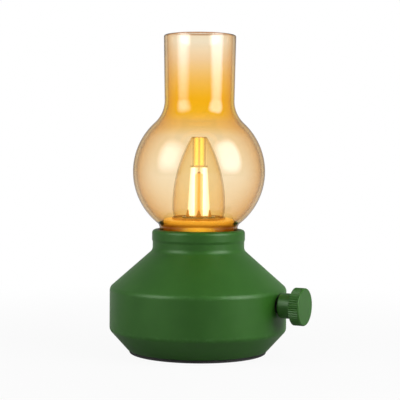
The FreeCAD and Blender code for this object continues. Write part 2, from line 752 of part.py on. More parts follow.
def make_driver():
    """Driver board on its standoffs, the pieces on it, and the short leads."""
    board = make_body("driver_board")
    sketch = make_sketch(board, "XY_Plane", "place.driver_foot")
    draw_box(sketch, "-size.driver_width / 2", "-size.driver_length / 2",
             "size.driver_width / 2", "size.driver_length / 2")
    for x, y in STANDOFFS:
        draw_circle(sketch, x, y, "size.small_screw_radius + size.screw_gap")
    extrude(board, sketch, "size.driver_thickness")

    pieces = make_body("board_components", several=True)
    edge = "size.driver_width / 2"
    sketch = make_sketch(pieces, "XY_Plane", "place.driver_top")
    draw_box(sketch, edge + " - size.terminal_depth", "-size.dimmer_radius",
             edge, "size.dimmer_radius")
    draw_box(sketch, "size.led_lead_x - size.terminal_depth / 2",
             "-size.led_lead_y - size.terminal_depth / 2",
             "size.led_lead_x + size.terminal_depth / 2",
             "size.led_lead_y + size.terminal_depth / 2")
    draw_circle(sketch, "size.coil_x", "size.coil_y", "size.coil_radius")
    extrude(pieces, sketch, "size.terminal_height")
    sketch = make_sketch(pieces, "XY_Plane", "place.driver_top")
    draw_box(sketch, "size.controller_x - size.controller_width / 2",
             "size.controller_y - size.controller_length / 2",
             "size.controller_x + size.controller_width / 2",
             "size.controller_y + size.controller_length / 2")
    extrude(pieces, sketch, "size.controller_height")

    leads = make_body("battery_leads", several=True)
    pad_circles(leads, [("size.battery_lead_x", "size.battery_lead_y"),
                        ("-size.battery_lead_x", "size.battery_lead_y")],
                "size.lead_radius", "place.box_top", "size.standoff_height")

    leads = make_body("led_leads", several=True)
    pad_circles(leads, LED_LEADS, "size.lead_radius", "place.terminal_top",
                "place.holder_top - place.terminal_top")

    leads = make_body("dimmer_leads", several=True)
    sketch = make_sketch(leads, "YZ_Plane", edge)
    for y in LUGS:
        draw_circle(sketch, y, LUG_HEIGHT, "size.lead_radius")
    extrude(leads, sketch, "place.dimmer_lug - " + edge)


LED_LEADS = [("size.led_lead_x", "size.led_lead_y"), ("size.led_lead_x", "-size.led_lead_y")]
LUGS = ["-size.lug_pitch", "0", "size.lug_pitch"]
LUG_HEIGHT = "place.driver_top + size.terminal_height / 2"


# ---------------------------------------------------------------- neck, glass and lamp

def make_bulb_holder():
    """Deep-drawn cup, open below, with three screw bosses inside."""
    body = make_body("bulb_holder")
    cup = revolve(body, [
        ("place.holder_inner", "place.ledge_top"),
        ("place.holder_radius", "place.ledge_top"),
        ("place.holder_radius", "place.holder_top"),
        ("0", "place.holder_top"),
        ("0", "place.holder_top - size.holder_wall"),
        ("place.holder_inner", "place.holder_top - size.holder_wall")])
    round_rims(body, cup, [("z", "place.holder_radius", "place.holder_top")],
               "size.holder_round")
    pad_circles(body, HOLDER_SCREWS, "size.holder_boss_radius", "place.ledge_top",
                "size.holder_height - size.holder_wall")
    pad_circles(body, HOLDER_SCREWS, "size.small_screw_radius + size.thread_fit",
                "place.ledge_top", "size.holder_screw_length - size.ledge_thickness",
                "Pocket")
    pad_circles(body, LED_LEADS, "size.lead_radius + size.screw_gap",
                "place.holder_top - size.holder_wall", "size.holder_wall", "Pocket")


def make_seat_ring():
    """Soft ring on the ledge, under the glass."""
    body = make_body("seat_ring")
    revolve(body, [
        ("place.holder_radius + size.seat_gap", "place.ledge_top"),
        ("place.neck_bore - size.seat_gap", "place.ledge_top"),
        ("place.neck_bore - size.seat_gap", "place.glass_foot"),
        ("place.holder_radius + size.seat_gap", "place.glass_foot")])


def make_chimney():
    """Blown glass of one wall: straight foot, globe, throat tangent to the globe, flared
    tube and a fire-polished rim."""
    body = make_body("chimney")
    throat = ("place.throat_axis", "place.throat_height")
    share = "size.globe_radius / place.throat_reach"
    share_inner = "place.globe_inner / place.throat_reach"
    glass = revolve(body, [
        ("size.glass_foot_radius", "place.glass_foot"),
        ("size.glass_foot_radius", "place.globe_low"),
        ("place.throat_axis * " + share, "size.globe_centre + place.throat_rise * " + share),
        ("size.throat_radius", "place.throat_height"),
        ("size.rim_radius", "place.rim_centre"),
        ("size.rim_radius - size.glass_wall", "place.rim_centre"),
        ("size.throat_radius - size.glass_wall", "place.throat_height"),
        ("place.throat_axis * " + share_inner,
         "size.globe_centre + place.throat_rise * " + share_inner),
        ("place.glass_bore", "place.globe_low_inner"),
        ("place.glass_bore", "place.glass_foot")],
        {1: ("0", "size.globe_centre", 1),
         2: throat + (-1,),
         4: ("size.rim_radius - size.glass_wall / 2", "place.rim_centre", 1),
         6: throat + (1,),
         7: ("0", "size.globe_centre", -1)})
    round_rims(body, glass, [("z", "size.glass_foot_radius", "place.globe_low"),
                             ("z", "place.glass_bore", "place.globe_low_inner")],
               "size.glass_foot_round")


def make_lamp():
    """Candle-shaped envelope with a flat open top, and what stands inside it."""
    shell = make_body("bulb_shell")
    upper = ("place.bulb_upper_axis", "place.bulb_middle")
    lower = ("place.bulb_lower_axis", "place.bulb_middle")
    revolve(shell, [
        ("size.bulb_foot_radius", "place.holder_top"),
        ("size.bulb_radius", "place.bulb_middle"),
        ("size.bulb_top_radius", "place.bulb_top"),
        ("place.bulb_hole", "place.bulb_top"),
        ("place.bulb_hole", "place.bulb_hole_height"),
        ("size.bulb_radius - size.bulb_wall", "place.bulb_middle"),
        ("place.bulb_foot_inner", "place.holder_top")],
        {0: lower + (1,), 1: upper + (1,), 4: upper + (-1,), 5: lower + (-1,)})

    collar = make_body("bulb_collar")
    revolve(collar, [
        ("place.collar_inner", "place.holder_top"),
        ("place.collar_inner + size.collar_width", "place.holder_top"),
        ("place.collar_inner + size.collar_width", "place.holder_top + size.collar_height"),
        ("place.collar_inner", "place.holder_top + size.collar_height")])

    board = make_body("led_board")
    revolve(board, [("0", "place.holder_top"), ("size.board_radius", "place.holder_top"),
                    ("size.board_radius", "place.board_top"), ("0", "place.board_top")])

    ring = make_body("led_ring")
    revolve(ring, [
        ("size.chip_inner_radius", "place.board_top"),
        ("size.chip_outer_radius", "place.board_top"),
        ("size.chip_outer_radius", "place.guide_foot"),
        ("size.chip_inner_radius", "place.guide_foot")])

    core = make_body("bulb_core")
    tube_inner = "size.tube_radius - size.tube_wall"
    revolve(core, [
        ("size.guide_bore", "place.guide_foot"),
        ("size.guide_foot_radius", "place.guide_foot"),
        ("size.guide_top_radius", "place.guide_top"),
        ("size.flange_radius", "place.guide_top"),
        ("size.flange_radius", "place.flange_top"),
        ("size.tube_radius", "place.flange_top"),
        ("size.tube_radius", "place.bulb_top"),
        (tube_inner, "place.bulb_top"),
        (tube_inner, "place.flange_top"),
        ("0", "place.flange_top"),
        ("0", "place.guide_top"),
        ("size.guide_bore", "place.guide_top")])

    pin = make_body("core_pin")
    ball = "place.board_top + size.pin_height - size.pin_head_radius"
    neck = "sqrt(size.pin_head_radius ^ 2 - size.pin_radius ^ 2)"
    revolve(pin, [
        ("0", "place.board_top"),
        ("size.pin_radius", "place.board_top"),
        ("size.pin_radius", "%s - %s" % (ball, neck)),
        ("0", "place.board_top + size.pin_height")],
        {2: ("0", ball, 1)})


# ---------------------------------------------------------------- dimmer and knob

def make_on_axis(label):
    """A body whose X axis is the knob's."""
    body = make_body(label)
    body.setExpression("Placement.Base.z", "size.knob_height")
    return body


def draw_d(sketch, flat, half):
    """A circle about the axis, cut by a flat of half width half at height flat."""
    draw_outline(sketch, [(half, flat), ("-" + half, flat)], {1: ("0", "0", 1)})


def make_dimmer():
    """Round dimmer with a threaded bushing, its washer and nut, and the D-ended shaft."""
    can = make_on_axis("dimmer_body")
    revolve(can, [
        ("place.dimmer_back", "0"),
        ("place.dimmer_floor", "0"),
        ("place.dimmer_floor", "place.dimmer_bore"),
        ("place.bushing_tip", "place.dimmer_bore"),
        ("place.bushing_tip", "size.bushing_radius"),
        ("place.dimmer_face", "size.bushing_radius"),
        ("place.dimmer_face", "size.dimmer_radius"),
        ("place.dimmer_back", "size.dimmer_radius")], along="H_Axis")
    lugs = make_sketch(can, "YZ_Plane", "place.dimmer_lug")
    for y in LUGS:
        height = "%s - size.knob_height" % LUG_HEIGHT
        draw_box(lugs, y + " - size.lead_radius", height + " - size.lead_radius",
                 y + " + size.lead_radius", height + " + size.lead_radius")
    extrude(can, lugs, "size.lug_reach + size.lug_root")

    washer = make_on_axis("dimmer_washer")
    bore = "size.bushing_radius + size.thread_fit"
    revolve(washer, [
        ("place.seat_face", bore), ("place.washer_face", bore),
        ("place.washer_face", "size.washer_radius"),
        ("place.seat_face", "size.washer_radius")], along="H_Axis")

    nut = make_on_axis("dimmer_nut")
    hexagon = make_sketch(nut, "YZ_Plane", "place.washer_face")
    draw_hexagon(hexagon, "0", "0", "size.nut_flats / 2 / cos(30)")
    draw_circle(hexagon, "0", "0", bore)
    extrude(nut, hexagon, "size.nut_thickness")

    shaft = make_on_axis("dimmer_shaft")
    revolve(shaft, [
        ("place.shaft_root", "0"), ("place.shaft_shoulder", "0"),
        ("place.shaft_shoulder", "size.shaft_radius"),
        ("place.shaft_root", "size.shaft_radius")], along="H_Axis")
    end = make_sketch(shaft, "YZ_Plane", "place.shaft_shoulder")
    draw_d(end, "size.shaft_flat", "place.flat_half")
    extrude(shaft, end, "place.shaft_tip - place.shaft_shoulder")


def make_dimmer_knob():
    """Knob with a plain hub over the nut, a rounded front and a knurled rear edge."""
    knob = make_on_axis("dimmer_knob")
    turned = revolve(knob, [
        ("place.hub_face", "size.hub_cavity_radius"),
        ("place.cavity_end", "size.hub_cavity_radius"),
        ("place.cavity_end", "0"),
        ("place.knob_face", "0"),
        ("place.knob_face", "size.knob_radius"),
        ("place.disc_face", "size.knob_radius"),
        ("place.disc_face", "size.hub_radius"),
        ("place.hub_face", "size.hub_radius")], along="H_Axis")
    round_rims(knob, turned, [("x", "size.knob_radius", "place.knob_face")],
               "size.knob_round")
    bore = make_sketch(knob, "YZ_Plane", "place.cavity_end")
    draw_d(bore, "place.knob_flat", "place.knob_flat_half")
    extrude(knob, bore, "place.shaft_tip + size.shaft_gap - place.cavity_end", "Pocket")
    # one V groove, as deep below the edge as the sketch stands above it
    notch = make_sketch(knob, "YZ_Plane", "place.disc_face")
    beyond = "size.knob_radius + size.knurl_depth"
    draw_outline(notch, [
        ("0", "size.knob_radius - size.knurl_depth"),
        ("2 * size.knurl_half_width", beyond),
        ("-2 * size.knurl_half_width", beyond)])
    groove = extrude(knob, notch, "size.knurl_length", "Pocket")
    knurl = knob.newObject("PartDesign::PolarPattern", "knurl")
    knurl.Originals = [groove]
    knurl.Axis = (origin_feature(knob, "X_Axis"), [""])
    knurl.Angle = 360
    knurl.setExpression("Occurrences", "size.knurl_count")
    knob.Tip = knurl


make_body_shell()
make_foot_ring()
make_base_plate()
make_screws("base_screws", POSTS, "size.foot_height + size.screw_head_height", True,
            "screw", "size.screw_length")
make_battery_box()
make_screws("battery_box_screws", EARS, "place.ear_top", False, "small_screw",
            "size.small_screw_length")
make_battery_cells()
make_contacts()
make_battery_door()
make_driver()
make_screws("board_screws", STANDOFFS, "place.driver_top", False, "small_screw",
            "size.small_screw_length")
make_bulb_holder()
make_screws("holder_screws", HOLDER_SCREWS, "place.ledge_under", True, "small_screw",
            "size.holder_screw_length")
make_seat_ring()
make_chimney()
make_lamp()
make_dimmer()
make_dimmer_knob()
doc.recompute()

# ---------------------------------------------------------------- checks, then the files

for thing in doc.Objects:
    if "Invalid" in thing.State or "Error" in thing.State:
        raise RuntimeError("failed: " + thing.Label)
    if thing.TypeId == "Sketcher::SketchObject" and not thing.FullyConstrained:
        raise RuntimeError("loose sketch: " + thing.Label)
    if thing.TypeId in ("PartDesign::Pocket", "PartDesign::Groove"):
        if thing.BaseFeature.Shape.Volume - thing.Shape.Volume < 1e-3:
            raise RuntimeError("cuts nothing: " + thing.Label)

os.makedirs("parts", exist_ok=True)
for part in parts:
    if part.Shape.isNull() or not part.Shape.isValid() or not part.Shape.Solids:
        raise RuntimeError("no valid solid: " + part.Label)
    part.Shape.exportStep("parts/%s.step" % part.Label)
    box = part.Shape.BoundBox
    print("%-20s %2d solid(s) %10.1f mm3  z %6.1f to %6.1f" % (
        part.Label, len(part.Shape.Solids), part.Shape.Volume, box.ZMin, box.ZMax))
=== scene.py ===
# %% [markdown]
# # A battery table lamp, dressed around its construction model
# The construction model already holds every part of the lamp in its place. This lesson adds what it
# lacks: surfaces turned finely enough for close views, glass that takes its tint from where it is thick,
# a light that glows, satin paint. We start by loading the model.

import json
from math import atan2, cos, pi, radians, sin, tan

import bmesh
import bpy
from mathutils import Matrix, Vector


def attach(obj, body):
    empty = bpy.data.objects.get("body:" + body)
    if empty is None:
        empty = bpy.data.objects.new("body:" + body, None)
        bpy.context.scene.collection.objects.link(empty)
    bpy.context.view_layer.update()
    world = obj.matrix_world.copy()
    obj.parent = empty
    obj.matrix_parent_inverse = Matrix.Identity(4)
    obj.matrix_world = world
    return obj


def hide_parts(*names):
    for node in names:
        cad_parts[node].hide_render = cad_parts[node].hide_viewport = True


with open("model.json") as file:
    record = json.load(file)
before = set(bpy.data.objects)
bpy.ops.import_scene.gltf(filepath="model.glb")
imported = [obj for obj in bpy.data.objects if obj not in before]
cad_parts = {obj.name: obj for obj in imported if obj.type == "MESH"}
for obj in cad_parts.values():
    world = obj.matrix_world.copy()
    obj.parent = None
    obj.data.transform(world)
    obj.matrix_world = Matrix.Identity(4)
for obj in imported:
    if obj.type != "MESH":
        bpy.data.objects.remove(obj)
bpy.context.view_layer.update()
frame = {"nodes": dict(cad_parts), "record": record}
nodes = frame["nodes"]
scene = bpy.context.scene
scene.view_settings.view_transform = "Standard"
FIN_CROSSINGS = 64
scene.cycles.transparent_max_bounces = FIN_CROSSINGS  # a sight line may cross many fins of light
MM = 0.001

# %% [markdown]
# ## The camera
# The photograph looks at the lamp from a little to the right of its front, with a long lens from
# nearly the height of the bulb, so upright lines stay upright and the foot shows as a flat ellipse.
# A camera can be placed by eye or from numbers. Here the numbers came from the ellipses of the rim and
# the foot, which fix its height and distance, so it is placed by them.

# %% Camera
CAMERA_AZIMUTH = radians(27)
CAMERA_DISTANCE, CAMERA_HEIGHT, CAMERA_SLIDE = 0.790, 0.1325, 0.0008
CAMERA_PITCH, CAMERA_ROLL = radians(2.2), radians(0.45)
LENS, SENSOR = 106.2, 36.0


def bearing(azimuth):
    """The level direction from the lamp towards something at that azimuth."""
    return Vector((sin(azimuth), -cos(azimuth), 0))


lens = bpy.data.cameras.new("camera")
lens.lens, lens.sensor_width = LENS, SENSOR
camera = bpy.data.objects.new("camera", lens)
scene.collection.objects.link(camera)
to_the_right = bearing(CAMERA_AZIMUTH + pi / 2)
camera.location = bearing(CAMERA_AZIMUTH) * CAMERA_DISTANCE + to_the_right * CAMERA_SLIDE
camera.location.z = CAMERA_HEIGHT
turn_round, tip_down, roll = (Matrix.Rotation(angle, 3, axis) for angle, axis in (
    (CAMERA_AZIMUTH, "Z"), (pi / 2 - CAMERA_PITCH, "X"), (CAMERA_ROLL, "Z")))
camera.rotation_euler = (turn_round @ tip_down @ roll).to_euler()
scene.camera = camera
print("camera at", [round(v, 3) for v in camera.location])

# %% [markdown]
# ## A small language for node trees
# Materials and Geometry Nodes are both trees of nodes. Wiring them line by line hides the idea, so one
# class holds a socket and lets Python's operators add the Math nodes, and another has one method that
# makes every other node: its settings first, then its sockets. With these, a finish reads as a formula.


# %% Sockets with operators, and the bench that makes nodes
class Link:
    """A node's output. Arithmetic on it adds Math nodes; link["Z"] is another output of its node."""

    def __init__(self, bench, socket):
        self.bench, self.socket = bench, socket

    def __getitem__(self, name):
        return Link(self.bench, self.socket.node.outputs[name])

    def math(self, operation, first, second=0.0):
        return self.bench.node("ShaderNodeMath", {"operation": operation}, {0: first, 1: second})

    def __abs__(self):
        return self.math("ABSOLUTE", self)

    def between(self, low, high):
        """0 below low, 1 above high, and a smooth rise from one to the other."""
        return self.bench.node("ShaderNodeMapRange", {"interpolation_type": "SMOOTHSTEP"},
                               {"Value": self, "From Min": low, "From Max": high})


for sign, operation in {"add": "ADD", "sub": "SUBTRACT", "mul": "MULTIPLY", "truediv": "DIVIDE",
                        "pow": "POWER"}.items():
    setattr(Link, f"__{sign}__", lambda self, other, kind=operation: self.math(kind, self, other))
    setattr(Link, f"__r{sign}__", lambda self, other, kind=operation: self.math(kind, other, self))


class Bench:
    """A node tree being built."""

    def __init__(self, tree):
        self.tree = tree
        tree.nodes.clear()

    def node(self, kind, settings=None, sockets=None):
        made = self.tree.nodes.new(kind)
        for name, value in (settings or {}).items():
            if name == "stops":
                ramp = made.color_ramp.elements
                while len(ramp) < len(value):
                    ramp.new(1.0)
                for stop, (place, colour) in zip(ramp, value):
                    stop.position, stop.color = place, (*colour, 1.0)
            else:
                setattr(made, name, value)
        for name, value in (sockets or {}).items():
            if isinstance(value, Link):
                self.tree.links.new(value.socket, made.inputs[name])
            else:
                made.inputs[name].default_value = value
        return Link(self, made.outputs[0]) if made.outputs else None


class Finish(Bench):
    """A material on the bench, with the object's own coordinates ready to read."""

    def __init__(self, name):
        self.material = bpy.data.materials.new(name)
        self.material.use_nodes = True
        super().__init__(self.material.node_tree)
        self.place = self.node("ShaderNodeTexCoord")["Object"]
        self.axes = self.node("ShaderNodeSeparateXYZ", {}, {"Vector": self.place})

    def noise(self, size, detail=3.0, roughness=0.5):
        """Soft noise whose lumps are about size metres across."""
        return self.node("ShaderNodeTexNoise", {}, {
            "Vector": self.place, "Scale": 1 / size, "Detail": detail, "Roughness": roughness})

    def mix(self, factor, first, second):
        """From colour first to colour second as factor goes from 0 to 1."""
        colours = {6: first, 7: second}
        colours = {k: v if isinstance(v, Link) else (*v, 1.0) for k, v in colours.items()}
        mixed = self.node("ShaderNodeMix", {"data_type": "RGBA"}, {0: factor, **colours})
        return Link(self, mixed.socket.node.outputs[2])

    def bump(self, height, depth):
        return self.node("ShaderNodeBump", {}, {"Height": height, "Distance": depth})

    def principled(self, **sockets):
        named = {name.replace("_", " "): value for name, value in sockets.items()}
        return self.node("ShaderNodeBsdfPrincipled", {}, named)

    def done(self, shader, volume=None):
        ends = {"Surface": shader, "Volume": volume} if volume else {"Surface": shader}
        self.node("ShaderNodeOutputMaterial", {}, ends)
        return self.material


print("the bench is ready")

# %% [markdown]
# ## The room
# The lamp was photographed on white. A white room can be built, but a white world and floor that only
# the camera sees, directly and through the glass, are simpler, and they leave the light on the lamp
# plain. Gloss mirrors the same walls and floor at a lower level, because what is mirrored lies on top
# of the colour and would turn it grey. The side of the room behind the camera is darkest, which keeps
# the middle of the glass and of the paint deep. The floor keeps the lamp's shadow close by and fades to
# pure white farther out.

# %% World and floor
GLOW_OF_ROOM, WALLS, DARK_SIDE = 0.18, 0.42, 0.10
TOWARDS_CAMERA = (0.30, 0.80)
FLOOR_GREY, FLOOR_WHITE_NEAR, FLOOR_FADE = 0.5, 0.93, (0.12, 0.45)
FLOOR_REACH, FLOOR_GAP = 6.0, 0.0002

scene.world = bpy.data.worlds.new("room")
scene.world.use_nodes = True
room = Bench(scene.world.node_tree)
rays = room.node("ShaderNodeLightPath")
facing = room.node("ShaderNodeVectorMath", {"operation": "DOT_PRODUCT"},
                   {0: room.node("ShaderNodeTexCoord"), 1: bearing(CAMERA_AZIMUTH)})["Value"]
walls = WALLS - (WALLS - DARK_SIDE) * facing.between(*TOWARDS_CAMERA)
sees_white = rays["Is Camera Ray"] + rays["Is Transmission Ray"]
mirrored = rays["Is Glossy Ray"] * (walls - GLOW_OF_ROOM) + GLOW_OF_ROOM
level = sees_white + (1 - sees_white) * mirrored
background = room.node("ShaderNodeBackground", {}, {"Color": (1, 1, 1, 1), "Strength": level})
room.node("ShaderNodeOutputWorld", {}, {"Surface": background})

floor_mesh = bpy.data.meshes.new("floor")
floor_mesh.from_pydata([(x * FLOOR_REACH, y * FLOOR_REACH, -FLOOR_GAP) for x, y in
                        ((-1, -1), (1, -1), (1, 1), (-1, 1))], [], [(0, 1, 2, 3)])
floor = bpy.data.objects.new("floor", floor_mesh)
scene.collection.objects.link(floor)
table = Finish("table")
rays = table.node("ShaderNodeLightPath")
lit = table.node("ShaderNodeBsdfDiffuse", {}, {"Color": (FLOOR_GREY, FLOOR_GREY, FLOOR_GREY, 1)})
white = table.node("ShaderNodeEmission", {}, {"Color": (1, 1, 1, 1), "Strength": 1.0})
sees_white = rays["Is Camera Ray"] + rays["Is Transmission Ray"]
far = ((table.axes["X"] ** 2.0 + table.axes["Y"] ** 2.0) ** 0.5).between(*FLOOR_FADE)
seen = (sees_white * (FLOOR_WHITE_NEAR + far * (1 - FLOOR_WHITE_NEAR))
        + (1 - sees_white) * rays["Is Glossy Ray"] * far * WALLS)
floor_mesh.materials.append(table.done(table.node("ShaderNodeMixShader", {}, {0: seen, 1: lit, 2: white})))
print("white room, diffuse level", GLOW_OF_ROOM)

# %% [markdown]
# ### The soft boxes
# Two large soft boxes stand to the right and left of the camera: their reflections are the two pale
# bands down the glass tube and the two patches on the globe. One rectangular lamp could do both jobs,
# but its reflection has hard corners, and a real cloth is bright in its middle and fades to its edge.
# So each box is two things in nearly the same place: a lamp that lights and isn't mirrored, and a
# cloth that is mirrored and lights nothing. A third box, high behind the lamp, only lights.

# %% Soft boxes
AIM_HEIGHT = 0.1
CORNERS = 3.0  # 2 would make the bright part of a cloth an ellipse, and more makes it squarer


def turned_to_lamp(name, data, azimuth, elevation, distance):
    """Something on a stand at that azimuth from the camera, turned to the middle of the object."""
    thing = bpy.data.objects.new(name, data)
    scene.collection.objects.link(thing)
    away = bearing(CAMERA_AZIMUTH + radians(azimuth)) * cos(radians(elevation))
    away.z = sin(radians(elevation))
    thing.location = away * distance + Vector((0, 0, AIM_HEIGHT))
    thing.rotation_euler = away.to_track_quat("Z", "Y").to_euler()
    thing.visible_camera = thing.visible_transmission = False
    return thing


def soft_box(name, azimuth, elevation, distance, width, height, power):
    """A rectangular lamp, which lights the object but isn't itself mirrored in it."""
    light = bpy.data.lights.new(name, "AREA")
    light.shape, light.size, light.size_y, light.energy = "RECTANGLE", width, height, power
    turned_to_lamp(name, light, azimuth, elevation, distance).visible_glossy = False


def diffuser(name, azimuth, elevation, distance, width, height, strength, feather):
    """A box's cloth as gloss mirrors it; feather is the share of its half width over which it fades."""
    mesh = bpy.data.meshes.new(name)
    mesh.from_pydata([(x * width / 2, y * height / 2, 0) for x, y in ((-1, -1), (1, -1), (1, 1), (-1, 1))],
                     [], [(3, 2, 1, 0)])
    cloth = Finish(name)
    across, up = abs(cloth.axes["X"]) / (width / 2), abs(cloth.axes["Y"]) / (height / 2)
    outward = (across ** CORNERS + up ** CORNERS) ** (1 / CORNERS)
    bright = (1 - outward.between(1 - feather, 1.0)) * strength
    light = cloth.node("ShaderNodeEmission", {}, {"Color": (1, 1, 1, 1), "Strength": bright})
    mesh.materials.append(cloth.done(light))
    card = turned_to_lamp(name, mesh, azimuth, elevation, distance)
    card.visible_diffuse = card.visible_shadow = False


# degrees round from the camera, degrees up, metres away, width, height, and watts
soft_box("box_right", 64, 25, 1.0, 0.80, 0.86, 11.5)
soft_box("box_left", -66, 25, 1.0, 0.74, 0.86, 6.5)
soft_box("box_top", 180, 70, 1.1, 0.9, 0.7, 3.0)
# the same for the cloths, with a strength for the watts, and the share that fades
diffuser("cloth_right", 57, 25, 1.0, 0.98, 1.14, 10.0, 0.55)
diffuser("cloth_left", -55, 25, 1.0, 1.04, 1.14, 9.0, 0.80)
print("three soft boxes, two of them mirrored")

# %% [markdown]
# ## Finishes
# Each finish is a formula over the object's own coordinates, in metres. Most of them are one recipe:
# a colour that drifts a little, a roughness that drifts with it, and a fine grain for the light to
# catch. So one function makes them from a table, and only the paint, the two glasses and the glow
# are written out.


# %% One recipe for the plain finishes
def plain_finish(name, colour, drift, roughness, grain, depth, metallic=0.0, streak=0.0,
                 glow=(0.0, 0.0, 0.0), strength=0.0):
    """Colour varies between colour and drift; grain is the size of the fine bumps, depth their height."""
    made = Finish(name)
    cloud = made.noise(0.006, 4.0)
    fine = made.noise(grain, 2.0)
    if streak:
        lines = made.node("ShaderNodeTexWave", {"wave_type": "RINGS", "rings_direction": "Z"},
                          {"Vector": made.place, "Scale": streak, "Distortion": 1.5, "Detail": 2.0})
        fine = fine * 0.4 + lines["Fac"] * 0.6
    shader = made.principled(
        Base_Color=made.mix(cloud.between(0.3, 0.7), colour, drift),
        Roughness=roughness + (cloud - 0.5) * 0.12 + (fine - 0.5) * 0.05,
        Metallic=metallic, Normal=made.bump(fine, depth),
        Emission_Color=(*glow, 1.0), Emission_Strength=strength)
    return made.done(shader)


BRASS = ((0.80, 0.50, 0.16), (0.70, 0.40, 0.11), 0.28, 0.0006, 0.00002, 1.0, 700)
plain = {name: plain_finish(name, *recipe) for name, recipe in {
    # name: colour, drift, roughness, grain, depth, metallic, turning lines
    "brass": BRASS,
    "steel": ((0.62, 0.62, 0.60), (0.54, 0.54, 0.53), 0.32, 0.0005, 0.00002, 1.0, 600),
    "black_steel": ((0.030, 0.030, 0.030), (0.045, 0.043, 0.040), 0.38, 0.0006, 0.00002, 0.8, 500),
    "spring_steel": ((0.72, 0.70, 0.64), (0.60, 0.58, 0.53), 0.25, 0.0008, 0.00002, 1.0),
    "black_plastic": ((0.020, 0.020, 0.022), (0.027, 0.027, 0.029), 0.55, 0.0004, 0.00006),
    "rubber": ((0.006, 0.006, 0.006), (0.010, 0.010, 0.010), 0.75, 0.0007, 0.00008),
    "silicone": ((0.42, 0.17, 0.035), (0.34, 0.13, 0.025), 0.45, 0.0010, 0.00003),
    "circuit_board": ((0.02, 0.14, 0.05), (0.03, 0.19, 0.07), 0.35, 0.0009, 0.00002),
    "components": ((0.03, 0.03, 0.034), (0.05, 0.05, 0.05), 0.5, 0.0005, 0.00003),
    "white_board": ((0.82, 0.80, 0.74), (0.74, 0.72, 0.66), 0.4, 0.0008, 0.00002),
    "led_phosphor": ((0.95, 0.70, 0.16), (0.88, 0.60, 0.10), 0.3, 0.0006, 0.00002),
    "cell_sleeve": ((0.10, 0.10, 0.11), (0.14, 0.14, 0.15), 0.35, 0.0015, 0.00001, 0.4),
    "lead_red": ((0.50, 0.03, 0.02), (0.42, 0.02, 0.02), 0.4, 0.0010, 0.00002),
    "lead_black": ((0.02, 0.02, 0.02), (0.03, 0.03, 0.03), 0.4, 0.0010, 0.00002),
}.items()}
lit_brass = plain_finish("lit_brass", *BRASS, (1.0, 0.66, 0.10), 0.55)
print(len(plain), "plain finishes, and brass with the lamp's light in it")

# %% [markdown]
# ### Satin paint
# The body and the knob are sprayed in one green. Sprayed satin is not flat: it has a fine orange peel,
# drifts a little in tone, and is rubbed paler where hands touch an edge. The paleness at an edge
# could come from the mesh's own curvature, but that changes with its faces, so it is worked out from
# the distance to the two corners that stand proud.

# %% Paint
PAINT, PAINT_DRIFT, PAINT_RUBBED = (0.018, 0.082, 0.007), (0.022, 0.093, 0.009), (0.050, 0.150, 0.035)
SHOULDER_EDGE, BEVEL_EDGE = (0.0583, 0.0430, 0.0028), (0.0586, 0.0165, 0.0026)

paint = Finish("satin_paint")
radius = (paint.axes["X"] ** 2.0 + paint.axes["Y"] ** 2.0) ** 0.5
peel = paint.noise(0.0011, 2.0)
cloud = paint.noise(0.018, 4.0)
speck = paint.noise(0.004, 6.0, 0.7)


def near_corner(r, z, reach):
    """1 on the ring of radius r at height z, falling to 0 at reach away from it."""
    gap = ((radius - r) ** 2.0 + (paint.axes["Z"] - z) ** 2.0) ** 0.5
    return 1 - gap.between(reach * 0.3, reach)


rubbed = (near_corner(*SHOULDER_EDGE) + near_corner(*BEVEL_EDGE)) * speck.between(0.45, 0.7)
colour = paint.mix(cloud.between(0.3, 0.7), PAINT, PAINT_DRIFT)
satin_paint = paint.done(paint.principled(
    Base_Color=paint.mix(rubbed * 0.35, colour, PAINT_RUBBED),
    Roughness=0.40 + (cloud - 0.5) * 0.06, Normal=paint.bump(peel, 0.00002),
    Specular_IOR_Level=0.25))
print("satin paint", PAINT)

# %% [markdown]
# ### Amber glass and clear glass
# The chimney is blown from one gather of amber glass. Where it was drawn out thin it is pale, and where
# it was necked in it is thick and deep, so the tint follows the height: beige at the rim, saturated at
# the throat, pale again in the globe. Light crosses a front and a back wall on its way through, so the
# colour written here is about the square root of the one that is seen. Towards its outline the glass
# deepens, because the eye looks along the wall there and not through it. One colour would miss that, so
# Layer Weight mixes in an edge tint, and at the very rim a plain dark one, and the volume soaks up
# light with distance. The foot, which stands in the neck, goes deep brown at its outline: partly its
# longer path through the glass, partly painted shade of the dark neck and cup seen behind it.

# %% Glass
TINT = [  # height in millimetres, and the colour of one wall
    (74, (0.990, 0.860, 0.420)), (86, (0.980, 0.820, 0.400)), (94, (0.990, 0.850, 0.650)),
    (120, (1.000, 0.920, 0.780)), (145, (1.000, 0.890, 0.700)), (153, (1.000, 0.784, 0.400)),
    (157, (1.000, 0.742, 0.225)), (161, (1.000, 0.726, 0.110)), (169, (1.000, 0.710, 0.080)),
    (182, (1.000, 0.760, 0.340)), (195, (0.990, 0.840, 0.650)), (207, (1.000, 0.950, 0.860)),
    (210.6, (1.000, 0.930, 0.820)), (211.6, (0.450, 0.200, 0.070))]
SOAK, SOAK_COLOUR = 60.0, (0.76, 0.53, 0.0, 1.0)
AMBER_EDGE, CLEAR_EDGE, FOOT_SHADE_BROWN = (0.72, 0.36, 0.030), (0.85, 0.60, 0.25), (0.28, 0.12, 0.010)
EDGE_ON, EDGE_ON_SHARE = (0.13, 0.05, 0.008, 1.0), 0.75
TOWARDS_EDGE, AT_THE_EDGE, FOOT_TURN = (0.10, 0.95), (0.60, 0.98), (0.0, 0.17)
FOOT_BAND = (0.0855, 0.0885)
TINT_LOW, TINT_HIGH = 0.070, 0.215


